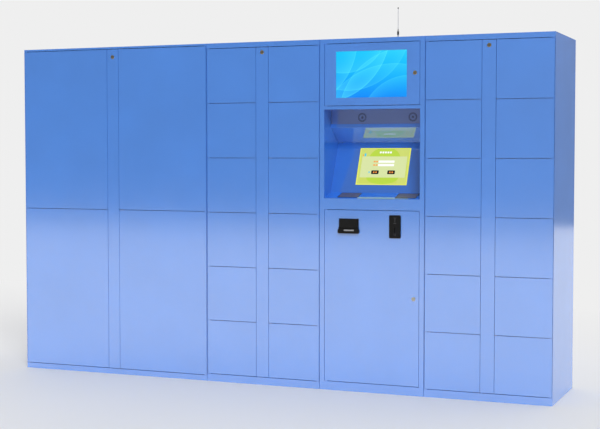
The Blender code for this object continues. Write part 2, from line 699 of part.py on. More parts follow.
def make_antenna(mats, frame):
    """Whip antenna on a threaded foot on the roof."""
    foot = ((0.0060, TOUCH), (0.0060, 0.003), (0.0034, 0.004),
            (0.0034, ANTENNA_FOOT - 0.024), (0.0048, ANTENNA_FOOT - 0.023),
            (0.0048, ANTENNA_FOOT - 0.002), (0.0036, ANTENNA_FOOT))
    copy_of("antenna_base", turned(foot, 16), mats["black"], frame,
            (ANTENNA_X, ANTENNA_Y, HEIGHT))
    start = ANTENNA_FOOT + TOUCH
    end = ANTENNA_TIP - HEIGHT
    whip = ((0.0016, start), (0.0014, end - 0.007), (0.0028, end - 0.006),
            (0.0028, end - 0.001), (0.0018, end))
    copy_of("antenna_whip", turned(whip, 8), mats["grey"], frame, (ANTENNA_X, ANTENNA_Y, HEIGHT))


def make_controller(mats, frame):
    """Steel case of the lock controller, on the back wall of the service bay."""
    back = BACK - SHEET - TOUCH
    case = box(centred(CONTROLLER_WIDTH), (back - CONTROLLER_DEPTH, back), CONTROLLER_Z)
    node("controller_box", case, mats["zinc"], frame)


def make_master(left, mats):
    frame = cabinet_frame("master", left, MASTER_WIDTH)
    half = (MASTER_WIDTH - SEAM) / 2
    node("master_shell", master_shell(half), mats["paint"], frame)
    make_niche(mats, frame)
    make_ad_door(mats, frame)
    make_service_door(mats, frame)
    make_controller(mats, frame)
    make_antenna(mats, frame)


def main():
    for item in list(bpy.data.objects):
        bpy.data.objects.remove(item)
    mats = make_materials()
    pitch = (LOCKER_TOP - LOCKER_BOTTOM) / LOCKER_ROWS
    locker_gaps = tuple(LOCKER_BOTTOM + pitch * k for k in range(LOCKER_ROWS + 1))
    left = -(PARCEL_WIDTH + 2 * LOCKER_WIDTH + MASTER_WIDTH) / 2
    make_locker("parcel", left, PARCEL_WIDTH, PARCEL_GAPS, mats)
    left += PARCEL_WIDTH
    make_locker("locker_a", left, LOCKER_WIDTH, locker_gaps, mats)
    left += LOCKER_WIDTH
    make_master(left, mats)
    left += MASTER_WIDTH
    make_locker("locker_b", left, LOCKER_WIDTH, locker_gaps, mats)


main()
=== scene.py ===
"""Looks of the parcel locker bank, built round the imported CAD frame."""

from math import cos, pi, radians, sin

import bmesh
import bpy
from mathutils import Matrix, Vector


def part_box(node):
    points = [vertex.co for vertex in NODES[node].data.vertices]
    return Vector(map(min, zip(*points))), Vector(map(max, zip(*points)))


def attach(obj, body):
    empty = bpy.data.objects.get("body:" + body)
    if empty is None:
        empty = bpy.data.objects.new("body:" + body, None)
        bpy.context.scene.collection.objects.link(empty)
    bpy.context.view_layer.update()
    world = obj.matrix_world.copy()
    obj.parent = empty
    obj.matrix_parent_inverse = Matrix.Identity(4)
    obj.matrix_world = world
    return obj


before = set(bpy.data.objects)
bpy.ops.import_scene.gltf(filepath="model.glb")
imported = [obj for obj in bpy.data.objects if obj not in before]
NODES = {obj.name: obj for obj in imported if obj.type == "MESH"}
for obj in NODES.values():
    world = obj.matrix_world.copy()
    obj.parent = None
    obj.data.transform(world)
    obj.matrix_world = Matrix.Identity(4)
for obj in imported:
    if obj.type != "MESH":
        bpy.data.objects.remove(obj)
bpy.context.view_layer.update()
ROOT = "cabinets"

# ------------------------------------------------------------------ camera
CAMERA_AT = (2.924, -6.948, 1.326)
CAMERA_YAW = -22.256                  # degrees to the left of straight on
CAMERA_PITCH = 2.765                  # degrees below level
CAMERA_LENS = 77.13                   # mm on a 36 mm sensor

# ------------------------------------------------------------------ studio
FLOOR_HALF_WIDTH = 16.0
FLOOR_FRONT = -14.2
FLOOR_BACK = 16.0
FADE_BACK = (1.0, 4.0)                # the floor fades out behind the lockers
FADE_ROUND = (9.5, 13.5)              # and all round them
WALL_RADIUS = 15.8
WALL_BEND = 2.5
WALL_TOP = 9.0
WALL_COLOUR = (0.863, 0.863, 0.863, 1.0)
SKY_AHEAD = (0.185, 0.195, 0.210)      # straight in front of the doors
SKY_FRONT = (0.125, 0.135, 0.150)
SKY_BACK = (0.22, 0.23, 0.26)
SKY_TOP = (0.94, 0.94, 0.96)
SKY_AXIS = (0.0, 0.35, 0.85)          # the sky is brightest this way
SKY_RISE = (0.35, 0.80)
KEY_FROM = (0.42, -0.75, 0.62)
KEY_STRENGTH = 2.35
KEY_SPREAD = 28.0                     # degrees


# --------------------------------------------------------- material helpers
class Nodes:
    """Short calls for building one node material."""

    def __init__(self, name):
        self.made = bpy.data.materials.new(name)
        self.made.use_nodes = True
        self.tree = self.made.node_tree
        self.shader = self.tree.nodes["Principled BSDF"]

    def add(self, kind, **settings):
        node = self.tree.nodes.new(kind)
        for key, value in settings.items():
            setattr(node, key, value)
        return node

    def link(self, source, target):
        self.tree.links.new(source, target)

    def set(self, **values):
        """Set the shader's own sockets, with _ standing for a space."""
        for key, value in values.items():
            self.shader.inputs[key.replace("_", " ")].default_value = value

    def place(self):
        return self.add("ShaderNodeTexCoord").outputs["Object"]

    def math(self, operation, a, b=None):
        """One sum on two values, each a number or another node's output."""
        node = self.add("ShaderNodeMath", operation=operation)
        for socket, value in zip(node.inputs, (a, b)):
            if isinstance(value, (int, float)):
                socket.default_value = value
            elif value is not None:
                self.link(value, socket)
        return node.outputs[0]

    def noise(self, scale, detail=2.0, where=None):
        node = self.add("ShaderNodeTexNoise")
        node.inputs["Scale"].default_value = scale
        node.inputs["Detail"].default_value = detail
        self.link(where or self.place(), node.inputs["Vector"])
        return node.outputs["Fac"]

    def ramp(self, fac, stops):
        """Colour ramp over (position, colour) stops."""
        node = self.add("ShaderNodeValToRGB")
        while len(node.color_ramp.elements) < len(stops):
            node.color_ramp.elements.new(0.5)
        for element, (position, colour) in zip(node.color_ramp.elements, stops):
            element.position = position
            element.color = (*colour, 1.0)
        self.link(fac, node.inputs["Fac"])
        return node.outputs["Color"]

    def span(self, fac, low, high, out_low, out_high):
        """Map low..high onto out_low..out_high."""
        node = self.add("ShaderNodeMapRange")
        for key, value in (("From Min", low), ("From Max", high),
                           ("To Min", out_low), ("To Max", out_high)):
            node.inputs[key].default_value = value
        self.link(fac, node.inputs["Value"])
        return node.outputs["Result"]

    def bump(self, height, distance, strength=1.0):
        node = self.add("ShaderNodeBump")
        node.inputs["Distance"].default_value = distance
        node.inputs["Strength"].default_value = strength
        self.link(height, node.inputs["Height"])
        self.link(node.outputs["Normal"], self.shader.inputs["Normal"])


DRAWN_STRETCH = (1.0, 1.0, 60.0)      # how the noise is drawn out into lines
DRAWN_SCALE = 12.0


def shade(colour, factor):
    return tuple(c * factor for c in colour)


def powder_coat(name, colour, roughness, texture=0.00004, tint=(1.0, 1.0, 1.0)):
    """Stoved powder coat: fine orange peel, a little cloud in tone and gloss."""
    m = Nodes(name)
    m.set(IOR=3.8, Coat_Weight=0.5, Coat_IOR=1.6, Coat_Roughness=roughness * 0.8,
          Specular_Tint=(*tint, 1.0))
    cloud = m.noise(3.0, 4.0)
    colours = m.ramp(cloud, ((0.3, shade(colour, 0.96)), (0.7, shade(colour, 1.04))))
    m.link(colours, m.shader.inputs["Base Color"])
    m.link(m.span(m.noise(9.0, 3.0), 0.3, 0.7, roughness * 0.92, roughness * 1.08),
           m.shader.inputs["Roughness"])
    m.bump(m.noise(420.0, 2.0), texture, 0.6)
    return m.made


def metal(name, colour, roughness):
    """Bare metal with fine drawn lines."""
    m = Nodes(name)
    m.set(Metallic=1.0)
    mapping = m.add("ShaderNodeMapping")
    mapping.inputs["Scale"].default_value = DRAWN_STRETCH
    m.link(m.place(), mapping.inputs["Vector"])
    lines = m.noise(DRAWN_SCALE, 4.0, mapping.outputs["Vector"])
    m.link(m.ramp(lines, ((0.3, shade(colour, 0.86)), (0.7, colour))),
           m.shader.inputs["Base Color"])
    m.link(m.span(lines, 0.3, 0.7, roughness * 0.8, roughness * 1.25),
           m.shader.inputs["Roughness"])
    m.bump(lines, 0.00003, 0.5)
    return m.made


def plastic(name, colour, roughness, grain=0.00006, specular=0.5):
    """Moulded plastic with a fine spark-eroded grain."""
    m = Nodes(name)
    m.set(Specular_IOR_Level=specular)
    grains = m.noise(900.0, 3.0)
    m.link(m.ramp(grains, ((0.35, shade(colour, 0.85)), (0.65, shade(colour, 1.15)))),
           m.shader.inputs["Base Color"])
    m.link(m.span(grains, 0.3, 0.7, roughness * 0.85, roughness * 1.15),
           m.shader.inputs["Roughness"])
    m.bump(grains, grain, 0.5)
    return m.made


def glow(name, colour, strength):
    """Lit display colour with a faint pixel structure."""
    m = Nodes(name)
    m.set(Roughness=0.12, Coat_Weight=0.3, Emission_Strength=strength)
    pixels = m.noise(1400.0, 1.0)
    colours = m.ramp(pixels, ((0.3, shade(colour, 0.97)), (0.7, colour)))
    m.link(colours, m.shader.inputs["Emission Color"])
    m.link(m.ramp(pixels, ((0.3, shade(colour, 0.1)), (0.7, shade(colour, 0.12)))),
           m.shader.inputs["Base Color"])
    return m.made


# sweeps of light as discs: centre x, centre z, radius, fade width, strength,
# all in screen heights from the middle of the screen
WAVES = (
    (-1.75, 0.75, 1.44, 0.40, 0.60),
    (-0.62, 1.05, 1.02, 0.40, 0.55),
    (-1.10, 0.95, 1.54, 0.34, 0.70),
    (0.75, -0.95, 1.49, 0.34, 0.45),
    (-0.50, 1.05, 1.395, 0.28, 0.40),
    (0.50, -1.60, 1.815, 0.32, 0.45),
    (0.85, -1.15, 1.11, 0.36, 0.40),
)


def wave_picture(name, height):
    """Cyan to blue picture of overlapping sweeps of light on the wide screen."""
    m = Nodes(name)
    m.set(Roughness=0.1, Coat_Weight=0.2, Emission_Strength=1.0, Specular_IOR_Level=0.2)
    split = m.add("ShaderNodeSeparateXYZ")
    m.link(m.place(), split.inputs["Vector"])
    x = m.math("DIVIDE", split.outputs["X"], height)
    z = m.math("DIVIDE", split.outputs["Z"], height)
    light = 0.0
    for cx, cz, radius, fade, strength in WAVES:
        dx = m.math("SUBTRACT", x, cx)
        dz = m.math("SUBTRACT", z, cz)
        distance = m.math("SQRT", m.math("ADD", m.math("MULTIPLY", dx, dx),
                                         m.math("MULTIPLY", dz, dz)))
        body = m.math("POWER", m.span(distance, radius - fade, radius, 0.0, 1.0), 1.6)
        line = m.math("POWER", m.span(distance, radius - 0.022, radius, 0.0, 1.0), 1.5)
        both = m.math("ADD", m.math("MULTIPLY", body, 0.45), m.math("MULTIPLY", line, 0.50))
        inside = m.math("MULTIPLY", m.math("LESS_THAN", distance, radius), strength)
        light = m.math("ADD", m.math("MULTIPLY", both, inside), light)
    slope = m.math("ADD", m.math("MULTIPLY", z, -0.85), m.math("MULTIPLY", x, -0.06))
    base = m.ramp(m.span(slope, -0.5, 0.5, 0.0, 1.0),
                  ((0.0, (0.008, 0.60, 0.98)), (0.5, (0.006, 0.46, 0.98)),
                   (1.0, (0.003, 0.22, 0.96))))
    mix = m.add("ShaderNodeMix", data_type="RGBA")
    m.link(m.math("MINIMUM", light, 0.85), mix.inputs["Factor"])
    m.link(base, mix.inputs[6])
    mix.inputs[7].default_value = (0.09, 0.86, 1.0, 1.0)
    m.link(mix.outputs[2], m.shader.inputs["Emission Color"])
    m.set(Base_Color=(0.005, 0.02, 0.03, 1.0))
    return m.made


# ---------------------------------------------------------------- materials
BLUE = (0.070, 0.300, 0.94)
MATS = {
    "paint": powder_coat("blue_powder_coat", BLUE, 0.13),
    # the niche liner is the blue paint made darker: painted shade for the less lit niche
    "liner": powder_coat("blue_gloss_coat_painted_shade", (0.036, 0.190, 0.74), 0.07, 0.000006,
                         (0.78, 0.92, 1.0)),
    "zinc": metal("zinc_plated_steel", (0.62, 0.63, 0.64), 0.38),
    "brass": metal("brass_key_cylinder", (0.62, 0.45, 0.18), 0.30),
    "nickel": metal("nickel_key_plug", (0.55, 0.50, 0.40), 0.28),
    "pale": metal("pale_key_cylinder", (0.95, 0.90, 0.70), 0.42),
    "black": plastic("black_moulding", (0.010, 0.0095, 0.009), 0.38, specular=0.2),
    "grey": plastic("grey_moulding", (0.42, 0.43, 0.45), 0.45),
    "paper": plastic("receipt_paper", (0.72, 0.72, 0.70), 0.8, 0.00002),
    "tear": plastic("tear_bar_grey", (0.36, 0.36, 0.37), 0.5),
    "mark": plastic("moulded_mark_grey", (0.060, 0.060, 0.062), 0.5),
    "lamp": glow("ready_lamp", (0.05, 0.55, 0.10), 0.8),
    # the fascia's darker, greyer blue is painted shade: the band lies in the shadow of the niche's
    # ceiling
    "painted_shade_blue": powder_coat("painted_shade_grille_coat", (0.115, 0.205, 0.54), 0.14),
    "smoke": plastic("smoked_window", (0.095, 0.085, 0.105), 0.32),
}


# ------------------------------------------------------------ CAD finishing
def finish(node, material, radius=0.0, segments=2):
    """Give a CAD node its material and, with a radius, its rounded edges."""
    obj = NODES[node]
    obj.data.materials.clear()
    obj.data.materials.append(material)
    if radius:
        round_edges(obj, radius, segments)


def round_edges(obj, radius, segments=2):
    """Weld the mesh, merge its flat faces and bevel the sharp edges."""
    weld = obj.modifiers.new("Weld", "WELD")
    weld.merge_threshold = 0.00001
    planar = obj.modifiers.new("Planar", "DECIMATE")
    planar.decimate_type = "DISSOLVE"
    planar.angle_limit = radians(1.0)
    bevel = obj.modifiers.new("Bevel", "BEVEL")
    bevel.width = radius
    bevel.segments = segments
    bevel.limit_method = "ANGLE"
    bevel.angle_limit = radians(28.0)
    bevel.harden_normals = True
    return obj


def finish_cad():
    """Material and edge radius of every CAD node."""
    for name in NODES:
        if name.endswith(("_shell", "_rack")):
            finish(name, MATS["paint"], 0.0012 if name.endswith("_shell") else 0.0)
        elif "_door" in name or name.endswith("_strip"):
            finish(name, MATS["paint"], 0.0010)
        elif name.endswith("lock"):
            finish(name, MATS["pale" if name == "service_lock" else "brass"], 0.0003)
        elif name.endswith("_lock_post"):
            finish(name, MATS["zinc"])
    finish("niche_liner", MATS["liner"], 0.0006)
    finish("printer_body", MATS["black"], 0.0012, 3)
    finish("printer_cover", MATS["black"], 0.0012, 3)
    finish("coin_acceptor", MATS["black"], 0.0008, 3)
    finish("coin_button", MATS["black"], 0.0003)
    finish("antenna_base", MATS["grey"], 0.0006)
    finish("antenna_whip", MATS["grey"], 0.0003)
    finish("controller_box", MATS["zinc"], 0.002, 3)
    finish("ad_monitor", MATS["black"], 0.002, 3)
    finish("touch_monitor", MATS["black"], 0.002, 3)
    finish("speaker_left", MATS["black"], 0.0004)
    finish("speaker_right", MATS["black"], 0.0004)


# ------------------------------------------------------------- mesh helpers
def piece(name, bm, material, body, matrix=Matrix(), radius=0.0, segments=2):
    """A new object from a bmesh, placed, given its finish and its body."""
    bmesh.ops.recalc_face_normals(bm, faces=bm.faces)
    mesh = bpy.data.meshes.new(name)
    bm.to_mesh(mesh)
    bm.free()
    mesh.materials.append(material)
    made = bpy.data.objects.new(name, mesh)
    bpy.context.scene.collection.objects.link(made)
    made.matrix_world = matrix
    if radius:
        round_edges(made, radius, segments)
    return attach(made, body)


def rounded_outline(width, height, radius, steps=6):
    """Points (x, z) of a rectangle with round corners, anticlockwise."""
    points = []
    for corner, (sx, sz) in enumerate(((1, 1), (-1, 1), (-1, -1), (1, -1))):
        cx = sx * (width / 2 - radius)
        cz = sz * (height / 2 - radius)
        for k in range(steps + 1):
            angle = (corner + k / steps) * pi / 2
            points.append((cx + radius * cos(angle), cz + radius * sin(angle)))
    return points


def ellipse_outline(width, height, steps=48):
    """Points (x, z) of an ellipse, anticlockwise."""
    return [(width / 2 * cos(2 * pi * k / steps), height / 2 * sin(2 * pi * k / steps))
            for k in range(steps)]


def plate(bm, outline, y, x=0.0, z=0.0):
    """Add a plate over an outline of (x, z) points between two y depths."""
    front = [bm.verts.new((x + px, y[0], z + pz)) for px, pz in outline]
    back = [bm.verts.new((x + px, y[1], z + pz)) for px, pz in outline]
    bm.faces.new(front)
    bm.faces.new(reversed(back))
    count = len(outline)
    for k in range(count):
        n = (k + 1) % count
        bm.faces.new((front[k], back[k], back[n], front[n]))


def lathe(bm, profile, sides, x=0.0, z=0.0):
    """Add a solid turned about an axis along Y from (radius, y) points."""
    rings = [[bm.verts.new((x + r * cos(2 * pi * k / sides), y, z + r * sin(2 * pi * k / sides)))
              for k in range(sides)] for r, y in profile]
    for low, high in zip(rings, rings[1:]):
        for k in range(sides):
            n = (k + 1) % sides
            bm.faces.new((low[k], low[n], high[n], high[k]))
    bm.faces.new(rings[0])
    bm.faces.new(reversed(rings[-1]))


def front_of(node):
    """Middle of a node's box in x and z, and its front y."""
    low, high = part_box(node)
    return Vector(((low.x + high.x) / 2, low.y, (low.z + high.z) / 2))


def face_frame(node, toward=(0.0, -1.0, 0.0), least=0.5):
    """Frame on a node's largest face that looks `toward`: origin mid face, +Y into it."""
    mesh = NODES[node].data
    normals = [p for p in mesh.polygons if p.normal.dot(Vector(toward)) > least]
    face = max(normals, key=lambda p: p.area)
    same = [p for p in normals if p.normal.dot(face.normal) > 0.999]
    area = sum(p.area for p in same)
    middle = sum((p.center * p.area for p in same), Vector()) / area
    inward = -face.normal
    across = Vector((1.0, 0.0, 0.0))
    up = across.cross(inward)
    turn = Matrix((across, inward, up)).transposed().to_4x4()
    return Matrix.Translation(middle) @ turn


# ------------------------------------------------------------- wide screen
AD_SCREEN = (0.408, 0.255)
GLASS_GAP = 0.0008                    # both screens' glass is this much smaller
GLASS_BACK = -0.0002                  # the glass stands just off its monitor


def make_ad_screen():
    """Glass front of the advertising monitor, showing the wave picture."""
    at = face_frame("ad_monitor")
    width, height = AD_SCREEN
    bm = bmesh.new()
    plate(bm, rounded_outline(width - GLASS_GAP, height - GLASS_GAP, 0.0004, 2),
          (-0.0013, GLASS_BACK))
    picture = wave_picture("wave_picture", height)
    piece("ad_screen_glass", bm, picture, "ad_door", at, 0.0002)


# ------------------------------------------------------------ touch screen
TOUCH_SCREEN = (0.299, 0.2235)
UI_SCALE = 0.982                      # brings the layout down to the screen
UI_TOP = 0.1068                       # top edge of the form's ground
UI_FACE = -0.0012                     # front of the glass
UI_STEP = 0.00008                     # from one layer of the form to the next
UI_THICK = 0.00006


def make_touch_screen():
    """Touch glass with a generic form: header, two fields, two buttons."""
    at = face_frame("touch_monitor")
    width, height = TOUCH_SCREEN
    lime = glow("ui_lime_border", (0.80, 0.84, 0.10), 1.0)
    pale = glow("ui_pale_panel", (0.66, 0.74, 0.36), 1.0)
    green = glow("ui_green_round", (0.47, 0.66, 0.06), 1.0)
    white = glow("ui_white_field", (0.95, 0.97, 0.93), 1.0)
    orange = glow("ui_orange_mark", (0.90, 0.30, 0.05), 1.0)
    ground = glow("ui_ground", (0.60, 0.68, 0.16), 1.0)
    olive = glow("ui_olive_band", (0.58, 0.66, 0.12), 1.0)
    dark = glow("ui_dark_button", (0.012, 0.012, 0.014), 0.6)
    cyan = glow("ui_cyan_mark", (0.05, 0.55, 0.75), 1.0)

    def layer(name, outline, level, material, x=0.0, z=0.0):
        bm = bmesh.new()
        y = UI_FACE - UI_STEP * level
        outline = [(UI_SCALE * (x + px), min(UI_SCALE * (z + pz), UI_TOP))
                   for px, pz in outline]
        plate(bm, outline, (y, y + UI_THICK))
        piece(name, bm, material, ROOT, at)

    bm = bmesh.new()
    plate(bm, rounded_outline(width - GLASS_GAP, height - GLASS_GAP, 0.0006, 2),
          (UI_FACE, GLASS_BACK))
    piece("touch_screen_glass", bm, lime, ROOT, at, 0.0002)
    layer("ui_ground", rounded_outline(0.292, 0.218, 0.001, 2), 1, ground)
    layer("ui_round_top", ellipse_outline(0.186, 0.140), 2, green, 0.001, 0.0480)
    layer("ui_band_bottom", rounded_outline(0.226, 0.036, 0.001, 2), 2, olive, -0.022, -0.087)
    layer("ui_round_bottom", ellipse_outline(0.190, 0.080), 3, green, 0.002, -0.0690)
    layer("ui_panel", rounded_outline(0.269, 0.130, 0.002), 4, pale, 0.0007, -0.0034)
    for k in range(5):
        layer(f"ui_header_{k + 1}", rounded_outline(0.0115, 0.0115, 0.003, 3), 4, white,
              0.0038 + (k - 2) * 0.0152, 0.0866)
    for k, z in enumerate((0.0296, 0.0083)):
        layer(f"ui_field_{k + 1}", rounded_outline(0.0955, 0.0139, 0.002, 3), 5, white, 0.0154, z)
        for part, (x, w) in enumerate(((-0.0560, 0.011), (-0.0415, 0.011))):
            layer(f"ui_label_{k + 1}_{part + 1}", rounded_outline(w, 0.0085, 0.002, 3), 5,
                  orange, x, z)
    for k, x in enumerate((-0.0454, 0.0511)):
        layer(f"ui_button_{k + 1}", rounded_outline(0.0450, 0.0236, 0.005), 5, dark, x, -0.0361)
        for side in (-1, 1):
            layer(f"ui_button_mark_{k + 1}_{'r' if side > 0 else 'l'}",
                  ellipse_outline(0.0100, 0.0100, 16), 6, orange, x + side * 0.0070, -0.0361)
    layer("ui_corner_mark", ellipse_outline(0.011, 0.022, 20), 4, cyan, -0.1170, 0.0715)
    layer("ui_corner_dot", ellipse_outline(0.007, 0.009, 16), 4, orange, -0.1290, 0.0690)
    layer("ui_pointer", [(-0.004, -0.007), (0.006, 0.0), (-0.004, 0.007)][::-1], 5, cyan,
          -0.0800, -0.0361)


# ---------------------------------------------------------------- speakers
SHEET = 0.0015                        # sheet thickness of the niche liner
SPEAKER_RIM = 0.0022                  # speaker rim, before the band
BAND_HEIGHT = 0.0772
BAND_OFFSET = 0.0025                  # middle of the band above the speakers' middle
FASCIA_PROUD = 0.0036
FASCIA_THICK = 0.0010
HOLE_RADIUS = 0.0021
HOLE_RINGS = ((0.0, 1), (0.0050, 6), (0.0185, 20), (0.0232, 26))   # radius, holes


def make_speaker_fascia():
    """Fascia over the band above the screen, perforated before each speaker; its darker, greyer
    blue is painted shade under the niche's ceiling.
    """
    low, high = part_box("niche_liner")
    centres = [front_of(f"speaker_{side}") for side in ("left", "right")]
    band_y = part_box("speaker_left")[0].y + SPEAKER_RIM
    x = (low.x + high.x) / 2
    z = centres[0].z + BAND_OFFSET
    width = high.x - low.x - 2 * SHEET - 0.0012
    outline = rounded_outline(width, BAND_HEIGHT, 0.0006, 2)
    inner = rounded_outline(width - 2 * FASCIA_THICK, BAND_HEIGHT - 2 * FASCIA_THICK, 0.0004, 2)
    front = band_y - FASCIA_PROUD
    fascia = bmesh.new()
    plate(fascia, outline, (front, band_y - 0.0002), x, z)
    hollow = bmesh.new()
    plate(hollow, inner, (front + FASCIA_THICK, band_y + 0.001), x, z)
    for centre in centres:
        for ring, count in HOLE_RINGS:
            for k in range(count):
                angle = 2 * pi * (k + 0.5) / count
                lathe(hollow, ((HOLE_RADIUS, front - 0.001), (HOLE_RADIUS, front + 0.0014)), 8,
                      centre.x + ring * cos(angle), centre.z + ring * sin(angle))
    # the fascia's colour is painted shade, the blue paint darkened and greyed
    made = piece("speaker_fascia", fascia, MATS["painted_shade_blue"], ROOT)
    carve(made, hollow)


# ---------------------------------------------------------------- sill pads
PAD_SIZE = (0.118, 0.080)
PADS = (("left", -0.1455), ("right", 0.1895))        # middles, from the niche's middle
PAD_DEPTH = 0.003                                    # middle, behind the sill's middle


def make_sill_pads():
    """Two smoked reader windows lying on the sill, each in a thin raised rim."""
    at = face_frame("niche_liner", (0.0, -0.27, 0.96), 0.99)
    width, depth = PAD_SIZE
    for side, x in PADS:
        bm = bmesh.new()
        plate(bm, rounded_outline(width, depth, 0.003), (-0.0016, -0.0002), x, PAD_DEPTH)
        rim = piece(f"reader_rim_{side}", bm, MATS["black"], ROOT, at)
        tool = bmesh.new()
        plate(tool, rounded_outline(width - 0.004, depth - 0.004, 0.0015), (-0.003, -0.0008),
              x, PAD_DEPTH)
        carve(rim, tool)
        bm = bmesh.new()
        plate(bm, rounded_outline(width - 0.0045, depth - 0.0045, 0.0012), (-0.0013, -0.0007),
              x, PAD_DEPTH)
        piece(f"reader_window_{side}", bm, MATS["smoke"], ROOT, at, 0.0002)


def bake(made):
    """Keep the shape that a piece's modifiers give it."""
    bpy.context.view_layer.update()
    seen = made.evaluated_get(bpy.context.evaluated_depsgraph_get())
    result = bpy.data.meshes.new_from_object(seen)
    made.modifiers.clear()
    made.data = result


def carve(made, tool):
    """Cut a bmesh out of a piece and keep the result as its mesh."""
    bmesh.ops.recalc_face_normals(tool, faces=tool.faces)
    mesh = bpy.data.meshes.new("tool")
    tool.to_mesh(mesh)
    tool.free()
    cutter = bpy.data.objects.new("tool", mesh)
    bpy.context.scene.collection.objects.link(cutter)
    cutter.matrix_world = made.matrix_world.copy()
    boolean = made.modifiers.new("Cut", "BOOLEAN")
    boolean.operation = "DIFFERENCE"
    boolean.solver = "EXACT"
    boolean.use_self = True
    boolean.object = cutter
    bake(made)
    bpy.data.objects.remove(cutter)


# ------------------------------------------------------------------- locks
LOCK_FLANGE = 0.0110                  # radius of a key cylinder's flange


def make_lock_faces():
    """Domed collar and a key plug with its slot on every cylinder."""
    for name in NODES:
        if not name.endswith("_lock"):
            continue
        low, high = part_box(name)
        radius = LOCK_FLANGE
        at = Matrix.Translation((high.x - radius, low.y, low.z + radius))
        bm = bmesh.new()
        lathe(bm, ((radius - 0.0032, 0.0004), (radius - 0.0030, -0.0001),
                   (radius - 0.0014, -0.0001), (radius - 0.0002, 0.0009),
                   (radius - 0.0002, 0.0014)), 32)
        pale = name == "service_lock"
        collar = piece(f"{name}_collar", bm, MATS["pale" if pale else "brass"], name, at)
        tool = bmesh.new()
        lathe(tool, ((radius - 0.0034, -0.002), (radius - 0.0034, 0.004)), 32)
        carve(collar, tool)
        bm = bmesh.new()
        lathe(bm, ((0.0062, 0.0012), (0.0062, 0.0003), (0.0056, -0.0001), (0.0001, -0.0001)), 24)
        plug = piece(f"{name}_plug", bm, MATS["pale" if pale else "nickel"], name, at)
        tool = bmesh.new()
        plate(tool, rounded_outline(0.0014, 0.0086, 0.0004, 2), (-0.002, 0.004))
        plate(tool, rounded_outline(0.0032, 0.0014, 0.0004, 2), (-0.002, 0.004), 0.0006, -0.0016)
        carve(plug, tool)


# ----------------------------------------------------------------- printer
TEETH = 25                            # on the tear bar
TOOTH_PITCH = 0.0021
MOUTH_DROP = 0.0010                   # the paper's slot below the bar's middle


def make_printer():
    """Details of the receipt printer: tear bar, paper, lamp, cover grip."""
    low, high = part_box("printer_body")
    x = (low.x + high.x) / 2
    cover_low, cover_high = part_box("printer_cover")
    mouth_x, mouth_z = x + 0.004, low.z + 0.01775
    bm = bmesh.new()
    plate(bm, rounded_outline(0.0590, 0.0076, 0.0012, 3), (low.y + 0.0006, low.y + 0.0019),
          mouth_x, mouth_z)
    bar = piece("printer_tear_bar", bm, MATS["tear"], "service_door")
    tool = bmesh.new()
    plate(tool, rounded_outline(0.0550, 0.0014, 0.0004, 2), (low.y - 0.001, low.y + 0.0030),
          mouth_x, mouth_z - MOUTH_DROP)
    for k in range(TEETH):
        plate(tool, [(0.0010, 0.0), (0.0, 0.0012), (-0.0010, 0.0)],
              (low.y - 0.001, low.y + 0.0010),
              mouth_x + (k - TEETH // 2) * TOOTH_PITCH, mouth_z - 0.0004)
    carve(bar, tool)
    bm = bmesh.new()
    plate(bm, rounded_outline(0.0540, 0.0003, 0.0001, 1), (low.y + 0.0004, low.y + 0.0070),
          mouth_x, mouth_z - MOUTH_DROP)
    piece("printer_paper", bm, MATS["paper"], "service_door")
    bm = bmesh.new()
    lathe(bm, ((0.0016, low.y + 0.0010), (0.0016, low.y + 0.0002), (0.0010, low.y + 0.00005)), 16,
          x - 0.044, mouth_z)
    piece("printer_lamp", bm, MATS["lamp"], "service_door")
    middle = (cover_low.x + cover_high.x) / 2
    bm = bmesh.new()
    plate(bm, rounded_outline(cover_high.x - cover_low.x - 0.012,
                              cover_high.z - cover_low.z - 0.012, 0.004, 4),
          (cover_low.y - 0.0005, cover_low.y + 0.0004), middle,
          (cover_low.z + cover_high.z) / 2)
    panel = piece("printer_cover_panel", bm, MATS["black"], "printer_cover")
    tool = bmesh.new()
    plate(tool, rounded_outline(0.026, 0.0055, 0.0026, 5),
          (cover_low.y - 0.002, cover_low.y + 0.0002), middle, cover_high.z - 0.0105)
    carve(panel, tool)


